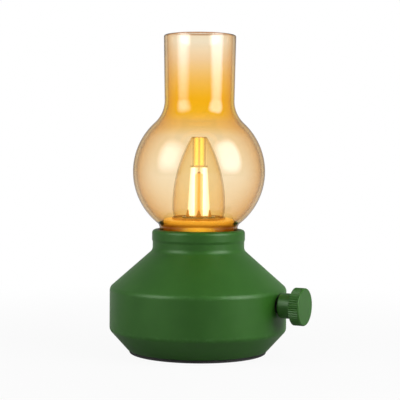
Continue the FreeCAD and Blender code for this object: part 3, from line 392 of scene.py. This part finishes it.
def tinted_glass(name, stops, ripple, soak, soak_colour, edge, foot=0.0):
    """Glass tinted up its wall by stops; soak deepens it where light runs far through it."""
    made = Finish(name)
    height = (made.axes["Z"] - TINT_LOW) / (TINT_HIGH - TINT_LOW)
    span = (TINT_HIGH - TINT_LOW) / MM
    places = [((z - TINT_LOW / MM) / span, colour) for z, colour in stops]
    ramp = made.node("ShaderNodeValToRGB", {"stops": places}, {"Fac": height})
    facing = made.node("ShaderNodeLayerWeight", {}, {"Blend": 0.5})["Facing"]
    ripples = made.bump(made.noise(0.014, 1.0), ripple)
    colour = made.mix(facing.between(*TOWARDS_EDGE), ramp, edge)
    # painted shade: below the foot band the glass turns deep brown except where it faces the eye, for the
    # dark neck seen through it as well as its longer path through the glass
    foot_outline_shade = (1 - made.axes["Z"].between(*FOOT_BAND)) * facing.between(*FOOT_TURN) * foot
    wall = made.principled(
        Base_Color=made.mix(foot_outline_shade, colour, FOOT_SHADE_BROWN), Roughness=0.0, IOR=1.45,
        Transmission_Weight=1.0, Normal=ripples)
    rim = made.principled(Base_Color=EDGE_ON, Roughness=0.2, Normal=ripples)
    edge_on = facing.between(*AT_THE_EDGE) * EDGE_ON_SHARE
    shader = made.node("ShaderNodeMixShader", {}, {0: edge_on, 1: wall, 2: rim})
    depth = made.node("ShaderNodeVolumeAbsorption", {}, {"Color": soak_colour, "Density": soak})
    return made.done(shader, depth)


amber_glass = tinted_glass("amber_glass", TINT, 0.00003, SOAK, SOAK_COLOUR, AMBER_EDGE, 1.0)
clear_glass = tinted_glass("clear_glass", [(80, (1.0, 0.95, 0.80)), (145, (1.0, 0.94, 0.76))], 0.00001,
                           SOAK, SOAK_COLOUR, CLEAR_EDGE)
print("two glasses,", len(TINT), "tints")

# %% [markdown]
# ### The glow
# The light comes from a hollow cone of clear plastic that carries it up from the board. Seen from the
# side its walls look white-hot and its middle stays amber, because the eye looks through more wall
# at the edges. A glowing volume would do that but is lost in an exported model. Thin radial fins
# do the same: seen flat at the edges, and end on in the middle. A second, warmer ring of fins fills the
# tube above. Each fin adds only a little light, so a sight line has to cross many of them, which is why
# the limit on transparent surfaces was raised at the start.

# %% Glow
FIN_SHARE = 0.02
FIN_GLOW, FIN_STRENGTH = (1.0, 0.97, 0.95, 1.0), 6.5
TUBE_GLOW, TUBE_STRENGTH = (1.0, 0.72, 0.16, 1.0), 4.5
BORE_COLOUR, BORE_GLOW, BORE_STRENGTH = (0.6, 0.3, 0.05, 1), ((0.90, 0.48, 0.03), (0.80, 0.38, 0.02)), 0.9


def fins_of_light(name, colour, strength):
    """Nearly clear fins that each add a little light."""
    made = Finish(name)
    clear = made.node("ShaderNodeBsdfTransparent")
    hot = made.node("ShaderNodeEmission", {}, {"Color": colour, "Strength": strength})
    return made.done(made.node("ShaderNodeMixShader", {}, {0: FIN_SHARE, 1: clear, 2: hot}))


fin_glow = fins_of_light("fin_glow", FIN_GLOW, FIN_STRENGTH)
tube_glow = fins_of_light("tube_glow", TUBE_GLOW, TUBE_STRENGTH)

core = Finish("bore_glow")
bore_glow = core.done(core.principled(
    Base_Color=BORE_COLOUR, Roughness=0.3,
    Emission_Color=core.mix(core.noise(0.004), *BORE_GLOW), Emission_Strength=BORE_STRENGTH))
print("fins of", FIN_SHARE * FIN_STRENGTH, "each, tube fins of", TUBE_STRENGTH * FIN_SHARE)

# %% [markdown]
# ## Turned parts
# Nearly everything here is turned: it is a profile spun round the axis. Blender has a Screw modifier
# for that, but building the rings in code keeps the poles closed and puts the points where the
# profile bends, so an edge with a small rounding catches the light as the real one does.


# %% Profiles and the lathe
SEGMENTS = 192
FILLET_STEPS = 8
SUPPORT = 0.25
SHARP = radians(35)


def rounded(corners):
    """Corners (r, z, fillet) in mm as a closed outline, with a point close beside each fillet's ends."""
    outline = []
    before_each, after_each = corners[-1:] + corners[:-1], corners[1:] + corners[:1]
    for before, (r, z, fillet), after in zip(before_each, corners, after_each):
        corner = Vector((r, z))
        if not fillet:
            outline.append(corner)
            continue
        back, on = (Vector(before[:2]) - corner), (Vector(after[:2]) - corner)
        room_back, room_on = back.length, on.length
        back.normalize()
        on.normalize()
        half = back.angle(on) / 2
        reach = fillet / tan(half)
        centre = corner + (back + on).normalized() * (fillet / sin(half))
        first, last = corner + back * reach - centre, corner + on * reach - centre
        start = atan2(first.y, first.x)
        sweep = (atan2(last.y, last.x) - start + pi) % (2 * pi) - pi
        if room_back > 2 * (reach + SUPPORT):
            outline.append(corner + back * (reach + SUPPORT))
        for step in range(FILLET_STEPS + 1):
            angle = start + sweep * step / FILLET_STEPS
            outline.append(centre + fillet * Vector((cos(angle), sin(angle))))
        if room_on > 2 * (reach + SUPPORT):
            outline.append(corner + on * (reach + SUPPORT))
    return outline


def mesh_object(name, work, material=None):
    """A finished bmesh as a named object with its place in its mesh."""
    bmesh.ops.remove_doubles(work, verts=work.verts, dist=1e-6)
    bmesh.ops.recalc_face_normals(work, faces=work.faces)
    mesh = bpy.data.meshes.new(name)
    work.to_mesh(mesh)
    work.free()
    mesh.shade_smooth()
    mesh.set_sharp_from_angle(angle=SHARP)
    made = bpy.data.objects.new(name, mesh)
    scene.collection.objects.link(made)
    if material:
        mesh.materials.append(material)
    return made


def spin(work, outline, segments=SEGMENTS, turn=None):
    """Spins a closed outline round Z; a point on the axis is one pole. turn places the result."""
    turn = turn or Matrix.Identity(4)
    rings = []
    for r, z in outline:
        if r < 1e-6:
            rings.append([work.verts.new(turn @ Vector((0, 0, z * MM)))] * segments)
        else:
            rings.append([work.verts.new(turn @ Vector((r * MM * cos(2 * pi * k / segments),
                                                        r * MM * sin(2 * pi * k / segments), z * MM)))
                          for k in range(segments)])
    for low, high in zip(rings, rings[1:] + rings[:1]):
        for k in range(segments):
            corners = list(dict.fromkeys((low[k], low[k - 1], high[k - 1], high[k])))
            if len(corners) > 2:
                work.faces.new(corners)


def turned(name, outlines, material, segments=SEGMENTS, turn=None):
    """One object from one or more closed outlines spun round the same axis."""
    work = bmesh.new()
    for outline in outlines:
        spin(work, outline, segments, turn)
    made = mesh_object(name, work, material)
    print(name, len(made.data.polygons), "faces")
    return made


def dress(piece, body, slot, *replaced):
    """A finished piece rides on its body and stands for the parts named; slot is not used."""
    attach(piece, body)
    if replaced:
        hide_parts(*replaced)
    return piece


# %% [markdown]
# ## The body shell
# The metal base is a spun shell: a bevel up from the foot, a straight wall, a conical shoulder and a
# short neck that ends in a bead for the glass to sit in. It is turned as one closed skin, outside and
# inside, and the seat and hole of the dimmer are then cut through the wall.

# %% Body shell
SHELL = [(47.0, 2.1, 0.5), (59.25, 15.7, 4.0), (59.25, 43.6, 4.4), (30.7, 68.8, 4.5), (30.7, 74.2, 2.5),
         (31.15, 75.8, 2.0), (31.15, 82.5, 2.4), (26.8, 82.5, 0.8), (26.8, 71.5, 0), (16.0, 71.5, 0.3),
         (16.0, 69.0, 0.3), (28.1, 69.0, 0), (28.9, 67.9, 2.0), (57.45, 42.6, 2.6), (57.45, 16.4, 2.2),
         (46.2, 3.9, 0.4), (44.0, 3.9, 0), (44.0, 2.1, 0)]
DIMMER_HEIGHT, SEAT_DEPTH_X, SEAT_RADIUS, BORE_RADIUS = 35.1, 58.45, 7.0, 3.7
CUT_FROM, CUT_TO, SMALL_SEGMENTS = 50, 65, 96
TO_KNOB = Matrix.Translation((0, 0, DIMMER_HEIGHT * MM)) @ Matrix.Rotation(pi / 2, 4, "Y")


def cut(piece, cutter):
    """Takes cutter out of piece and removes it."""
    modifier = piece.modifiers.new("cut", "BOOLEAN")
    modifier.object, modifier.operation, modifier.solver = cutter, "DIFFERENCE", "EXACT"
    graph = bpy.context.evaluated_depsgraph_get()
    mesh = bpy.data.meshes.new_from_object(piece.evaluated_get(graph))
    piece.modifiers.clear()
    piece.data = mesh
    bpy.data.objects.remove(cutter)
    mesh.set_sharp_from_angle(angle=SHARP)


shell = turned("lamp_body", [rounded(SHELL)], satin_paint)
cutter = turned("dimmer_seat", [[Vector(point) for point in (
    (0, CUT_FROM), (BORE_RADIUS, CUT_FROM), (BORE_RADIUS, SEAT_DEPTH_X), (SEAT_RADIUS, SEAT_DEPTH_X),
    (SEAT_RADIUS, CUT_TO), (0, CUT_TO))]], None, SMALL_SEGMENTS, TO_KNOB)
cut(shell, cutter)
dress(shell, "base", "green_paint", "body_shell")
print("shell box", [round(v / MM, 2) for v in shell.dimensions])

# %% [markdown]
# ## The glass chimney
# One wall of glass, two millimetres thick, goes up from a straight foot through the globe and the
# throat to a fire-polished rim. It has to be closed, with an outside and an inside, because that is how
# glass bends light: a single sheet would look like film. The arcs are worked out from their
# centres, and the inner wall runs back down beside the outer one.

# %% Chimney
GLOBE_Z, GLOBE_R, WALL = 121.1, 44.15, 2.0
THROAT_R, THROAT_ARC, THROAT_Z = 23.3, 20.0, 168.43
FOOT_R, FOOT_Z, RIM_R, RIM_Z = 26.2, 73.5, 24.1, 212.0
ARC_STEPS, RIM_STEPS = 44, 10
FOOT_STRAIGHT, NECK_DROP, NECK_TURN = 1.0, 1.2, 1.4


def arc(centre, size, start, end, steps):
    """Points from start to end degrees round a centre (r, z)."""
    return [Vector(centre) + size * Vector((cos(radians(a)), sin(radians(a))))
            for a in (start + (end - start) * k / steps for k in range(steps + 1))]


def chimney_side(shrink):
    """The wall's line from foot to rim, shrink mm inside the outer face."""
    globe, foot = GLOBE_R - shrink, FOOT_R - shrink
    low = -atan2((globe ** 2 - foot ** 2) ** 0.5, foot) / pi * 180
    throat = (THROAT_R + THROAT_ARC, THROAT_Z)
    lean = atan2(THROAT_Z - GLOBE_Z, throat[0]) / pi * 180
    joint_z = GLOBE_Z - (globe ** 2 - foot ** 2) ** 0.5
    return ([Vector((foot, FOOT_Z + FOOT_STRAIGHT)), Vector((foot, joint_z - NECK_DROP))]
            + arc((0, GLOBE_Z), globe, low + NECK_TURN, lean, ARC_STEPS)
            + arc(throat, THROAT_ARC + shrink, 180 + lean, 180, ARC_STEPS // 2)[1:])


rim = arc((RIM_R - WALL / 2, RIM_Z - WALL / 2), WALL / 2, 0, 180, RIM_STEPS)
foot_roll = arc((FOOT_R - WALL / 2, FOOT_Z + WALL / 2), WALL / 2, -180, 0, RIM_STEPS)
wall = chimney_side(0) + rim + chimney_side(WALL)[::-1] + foot_roll
chimney = turned("glass_chimney", [wall], amber_glass)
dress(chimney, "chimney", "amber_glass", "chimney")

# %% [markdown]
# ## The light
# Inside stands a candle-shaped envelope of clear glass over the glowing guide. The envelope is as
# thin as a real one and open at the top, where a tube ends it. The guide's fins and the pointed claws
# round its foot repeat round the axis, so Geometry Nodes make them from one pattern.

# %% Copies in a ring, or at the corners of a rectangle
copy_trees = {}


def copies(pattern, body, slot, replaced, material, inputs):
    """Turns pattern into copies: inputs Count, Phase and Axis set a ring, Width and Depth a rectangle."""
    kind = "ring_of_copies" if "Count" in inputs else "copies_at_corners"
    if kind not in copy_trees:
        tree = bpy.data.node_groups.new(kind, "GeometryNodeTree")
        sizes = {"Count": "NodeSocketInt", "Phase": "NodeSocketFloat", "Axis": "NodeSocketVector"}
        if kind != "ring_of_copies":
            sizes = {"Width": "NodeSocketFloat", "Depth": "NodeSocketFloat"}
        sockets = {"Pattern": "NodeSocketGeometry", **sizes, "Finish": "NodeSocketMaterial"}
        for name, socket in sockets.items():
            tree.interface.new_socket(name, in_out="INPUT", socket_type=socket)
        tree.interface.new_socket("Copies", in_out="OUTPUT", socket_type="NodeSocketGeometry")
        bench = Bench(tree)
        given = bench.node("NodeGroupInput")
        if kind == "ring_of_copies":
            index = bench.node("GeometryNodeInputIndex")
            angle = index * (2 * pi / given["Count"]) + given["Phase"]
            turn = bench.node("FunctionNodeAxisAngleToRotation", {}, {
                "Axis": given["Axis"], "Angle": angle})
            spots = bench.node("GeometryNodePoints", {}, {"Count": given["Count"]})
        else:
            spots = bench.node("GeometryNodeMeshGrid", {}, {
                "Size X": given["Width"], "Size Y": given["Depth"], "Vertices X": 2, "Vertices Y": 2})
            turn = (0.0, 0.0, 0.0)
        placed = bench.node("GeometryNodeInstanceOnPoints", {}, {
            "Points": spots, "Instance": given["Pattern"], "Rotation": turn})
        real = bench.node("GeometryNodeRealizeInstances", {}, {"Geometry": placed})
        coated = bench.node("GeometryNodeSetMaterial", {}, {"Geometry": real, "Material": given["Finish"]})
        bench.node("NodeGroupOutput", {}, {"Copies": coated})
        copy_trees[kind] = tree
    tree = copy_trees[kind]
    modifier = pattern.modifiers.new("copies", "NODES")
    modifier.node_group = tree
    wanted = {**inputs, "Finish": material}
    for item in tree.interface.items_tree:
        if item.in_out == "INPUT" and item.name in wanted:
            modifier[item.identifier] = wanted[item.name]
    graph = bpy.context.evaluated_depsgraph_get()
    mesh = bpy.data.meshes.new_from_object(pattern.evaluated_get(graph))
    pattern.modifiers.clear()
    pattern.data = mesh
    print(pattern.name, len(mesh.polygons), "faces in all")
    if body:
        dress(pattern, body, slot, *replaced)
    return pattern


# %% The glowing guide
BOARD_TOP, GUIDE_TOP = 91.7, 123.9
BORE, GUIDE_FOOT_R, GUIDE_TOP_R = 3.0, 7.8, 5.7
FIN_COUNT, FIN_THICK = 24, 0.12
TUBE_BORE, TUBE_LIGHT_R, TUBE_LOW, TUBE_HIGH = 1.1, 3.4, 125.3, 143.6
CORE_R, CORE_TOP = 2.8, 119.8
FLANGE_TOP, FLANGE_R, TUBE_TOP, TUBE_INNER_R, TUBE_OUTER_R = 125.1, 6.0, 144.3, 3.45, 4.45


def plate(name, front, back):
    """A flat closed piece between two outlines in mm with the same number of corners."""
    work = bmesh.new()
    front, back = ([work.verts.new(Vector(point) * MM) for point in side] for side in (front, back))
    work.faces.new(front)
    work.faces.new(back[::-1])
    for k in range(len(front)):
        work.faces.new([front[k - 1], front[k], back[k], back[k - 1]])
    return mesh_object(name, work)


def fin_pattern(name, corners):
    """One upright fin through the corners (r, z)."""
    return plate(name, *([(r, y * FIN_THICK / 2, z) for r, z in corners] for y in (-1, 1)))


in_a_ring = {"Count": FIN_COUNT, "Phase": CAMERA_AZIMUTH, "Axis": (0.0, 0.0, 1.0)}
fin = fin_pattern("guide_fins", [(BORE, BOARD_TOP), (GUIDE_FOOT_R, BOARD_TOP), (GUIDE_TOP_R, GUIDE_TOP),
                                 (BORE, GUIDE_TOP)])
copies(fin, "base", "light_guide", ["bulb_core"], fin_glow, in_a_ring)
fin = fin_pattern("tube_fins", [(TUBE_BORE, TUBE_LOW), (TUBE_LIGHT_R, TUBE_LOW), (TUBE_LIGHT_R, TUBE_HIGH),
                                (TUBE_BORE, TUBE_HIGH)])
copies(fin, "base", "light_guide", [], tube_glow, in_a_ring)

sleeve = turned("guide_bore", [rounded([
    (0, BOARD_TOP, 0), (CORE_R, BOARD_TOP, 0), (CORE_R, CORE_TOP, 0.8), (0, CORE_TOP, 0)])], bore_glow, 48)
dress(sleeve, "base", "light_guide")
flange = turned("guide_flange", [rounded([
    (TUBE_LIGHT_R, GUIDE_TOP, 0.2), (FLANGE_R, GUIDE_TOP, 0.3), (FLANGE_R, FLANGE_TOP, 0.3),
    (TUBE_LIGHT_R, FLANGE_TOP, 0.2)])], clear_glass, SMALL_SEGMENTS)
dress(flange, "base", "light_guide")
upper_tube = turned("guide_tube", [rounded([
    (TUBE_INNER_R, FLANGE_TOP, 0), (TUBE_OUTER_R, FLANGE_TOP, 0), (TUBE_OUTER_R, TUBE_TOP, 0.3),
    (TUBE_INNER_R, TUBE_TOP, 0.3)])], clear_glass, SMALL_SEGMENTS)
dress(upper_tube, "base", "light_guide")

# %% Claws round the guide's foot
CLAW_COUNT, CLAW_HALF_WIDTH, CLAW_TIP, CLAW_HEIGHT, CLAW_THICK = 6, 2.1, 0.35, 4.6, 0.5
CLAW_GAP, CLAW_SUNK, CLAW_LEAN = 0.5, 0.6, 0.06

outline = [(-CLAW_HALF_WIDTH, 0), (CLAW_HALF_WIDTH, 0), (CLAW_TIP, CLAW_HEIGHT), (-CLAW_TIP, CLAW_HEIGHT)]
claw = plate("guide_claws", *(
    [(GUIDE_FOOT_R + CLAW_GAP + out * CLAW_THICK - z * CLAW_LEAN, y, BOARD_TOP - CLAW_SUNK + z)
     for y, z in outline] for out in (0, 1)))
copies(claw, "base", "brass", [], plain["brass"],
       {"Count": CLAW_COUNT, "Phase": CAMERA_AZIMUTH - pi / 2, "Axis": (0.0, 0.0, 1.0)})

# %% [markdown]
# ### The envelope
# Two arcs make its side, a long flat one above and a short round one below, as on a real candle lamp.
# A wall of even thickness is the same line drawn again a little farther in.

# %% Envelope
BULB_FOOT, BULB_BELLY, BULB_TOP = (16.2, 89.5), (17.75, 98.5), (5.15, 144.3)
UPPER_ARC, UPPER_AXIS, LOWER_ARC, LOWER_AXIS = 89.5, -71.8, 26.9, -9.15
BULB_WALL = 0.9


def envelope_side(shrink):
    """The envelope's line from foot to top, shrink mm inside the outer face."""
    low = -atan2(BULB_BELLY[1] - BULB_FOOT[1], BULB_FOOT[0] - LOWER_AXIS) / pi * 180
    high = atan2(BULB_TOP[1] - BULB_BELLY[1], BULB_TOP[0] - UPPER_AXIS) / pi * 180
    return (arc((LOWER_AXIS, BULB_BELLY[1]), LOWER_ARC - shrink, low, 0, 12)[:-1]
            + arc((UPPER_AXIS, BULB_BELLY[1]), UPPER_ARC - shrink, 0, high, 40))


envelope = turned("bulb_envelope", [envelope_side(0) + envelope_side(BULB_WALL)[::-1]], clear_glass)
dress(envelope, "base", "clear_glass", "bulb_shell")

# %% [markdown]
# ## The holder and the rings
# A brass cup carries the lamp on the ledge of the neck. Round it lies the soft ring that the glass
# stands on, and under the body the rubber foot. All are turned, with their edges rounded as pressed
# metal and moulded rubber are. In the photograph the cup is warmed by the lamp above it. Light through
# two layers of glass is slow to gather in a render, so its brass gives off a little of that light itself.

# %% Holder, seat ring and foot
HOLDER_R, HOLDER_INNER_R, HOLDER_TOP, HOLDER_CEILING = 23.6, 21.6, 89.5, 87.7
LEDGE, SEAT_INNER_R, SEAT_OUTER_R = 71.5, 23.9, 26.5
COLLAR_INNER_R, COLLAR_OUTER_R, COLLAR_TOP = 16.8, 17.9, 90.9
FLAT_TOP_R, FOOT_INNER_R, FOOT_OUTER_R, FOOT_TOP = 16.0, 40.6, 45.9, 2.1


def ring(inner, outer, low, high, roundings):
    """A ring's section, its corners from inside low round to inside high."""
    corners = (inner, low), (outer, low), (outer, high), (inner, high)
    return rounded([(*corner, rounding) for corner, rounding in zip(corners, roundings)])


holder = turned("brass_holder", [rounded([
    (0, HOLDER_CEILING, 0), (0, HOLDER_TOP, 0), (FLAT_TOP_R, HOLDER_TOP, 0), (HOLDER_R, HOLDER_TOP, 1.8),
    (HOLDER_R, LEDGE, 0.2), (HOLDER_INNER_R, LEDGE, 0.2), (HOLDER_INNER_R, HOLDER_CEILING, 0.8)])],
    lit_brass)
dress(holder, "base", "brass", "bulb_holder")
for name, section, slot, part in (
        ("brass_collar", ring(COLLAR_INNER_R, COLLAR_OUTER_R, HOLDER_TOP, COLLAR_TOP, (0, 0, 0.3, 0.3)),
         "brass", "bulb_collar"),
        ("soft_seat", ring(SEAT_INNER_R, SEAT_OUTER_R, LEDGE, FOOT_Z, (0.3, 0.3, 0.4, 0.4)),
         "silicone", "seat_ring"),
        ("rubber_foot", ring(FOOT_INNER_R, FOOT_OUTER_R, 0, FOOT_TOP, (0.35, 0.35, 0, 0)),
         "rubber", "foot_ring")):
    dress(turned(name, [section], plain[slot]), "base", slot, part)

# %% [markdown]
# ## The dimmer knob
# The knob has a plain hub and a wider disc whose rear half is knurled for the fingers. The core is
# turned about the shaft's axis. The knurls are fifty ridges, one pattern copied round, each with a
# narrow flat crest and its foot sunk into the core.

# %% Knob
HUB_R, HUB_BACK, DISC_R, DISC_BACK, DISC_FRONT, KNURL_END = 8.2, 60.75, 12.2, 70.25, 77.45, 76.35
HOLLOW_R, HOLLOW_END = 6.6, 63.25
KNURLS, KNURL_DEPTH, KNURL_CREST, KNURL_SUNK = 50, 0.45, 0.15, 0.25
KNURL_BACK_GAP, KNURL_OVERLAP = 0.15, 0.1

core_r = DISC_R - KNURL_DEPTH
knob = turned("dimmer_knob_core", [rounded([
    (0, HOLLOW_END, 0), (HOLLOW_R, HOLLOW_END, 0), (HOLLOW_R, HUB_BACK, 0),
    (HUB_R, HUB_BACK, 0.7), (HUB_R, DISC_BACK, 0.4),
    (core_r, DISC_BACK, 0.3), (core_r, KNURL_END, 0), (DISC_R, KNURL_END, 0.1), (DISC_R, DISC_FRONT, 0.9),
    (0, DISC_FRONT, 0)])], satin_paint, SEGMENTS, TO_KNOB)
dress(knob, "dimmer", "green_paint", "dimmer_knob")

half_pitch = pi * core_r / KNURLS
ridge = [(-half_pitch, core_r - KNURL_SUNK), (half_pitch, core_r - KNURL_SUNK), (half_pitch, core_r),
         (KNURL_CREST, DISC_R), (-KNURL_CREST, DISC_R), (-half_pitch, core_r)]
knurl = plate("dimmer_knob_knurls", *(
    [(x, y, r) for y, r in ridge] for x in (DISC_BACK + KNURL_BACK_GAP, KNURL_END + KNURL_OVERLAP)))
copies(knurl, None, None, [], satin_paint, {"Count": KNURLS, "Phase": 0.0, "Axis": (1.0, 0.0, 0.0)})
knurl.data.transform(Matrix.Translation((0, 0, DIMMER_HEIGHT * MM)))
dress(knurl, "dimmer", "green_paint")

# %% [markdown]
# ## Screws under the base
# Four socket screws hold the base plate. One head is turned, with its socket sunk in, and the copies
# stand at the corners of a rectangle.

# %% Screws
SCREW_X, SCREW_Y, HEAD_LOW, HEAD_HIGH, HEAD_R = 59.06, 42.9, 2.1, 3.6, 2.7
SOCKET_R, SOCKET_DEPTH, SCREW_SEGMENTS = 1.35, 0.9, 24

screw = turned("base_screw_heads", [rounded([
    (0, HEAD_LOW + SOCKET_DEPTH, 0), (SOCKET_R, HEAD_LOW + SOCKET_DEPTH, 0), (SOCKET_R, HEAD_LOW, 0.1),
    (HEAD_R, HEAD_LOW, 0.5), (HEAD_R, HEAD_HIGH, 0.1), (0, HEAD_HIGH, 0)])], plain["steel"], SCREW_SEGMENTS)
copies(screw, "base", "steel", ["base_screws"], plain["steel"],
       {"Width": SCREW_X * MM, "Depth": SCREW_Y * MM})

# %% [markdown]
# ## The parts that stay as constructed
# The board, the cells, the leads and the underside keep their own meshes. Each gets the finish of its
# slot in the record, so a part added later is never left plain.

# %% Finishes on the kept parts
finishes = {**plain, "green_paint": satin_paint, "amber_glass": amber_glass, "clear_glass": clear_glass,
            "light_guide": bore_glow}
for part in frame["record"]["subparts"]:
    mesh = nodes[part["node"]].data
    mesh.materials.clear()
    mesh.materials.append(finishes[part["material_slot"]])
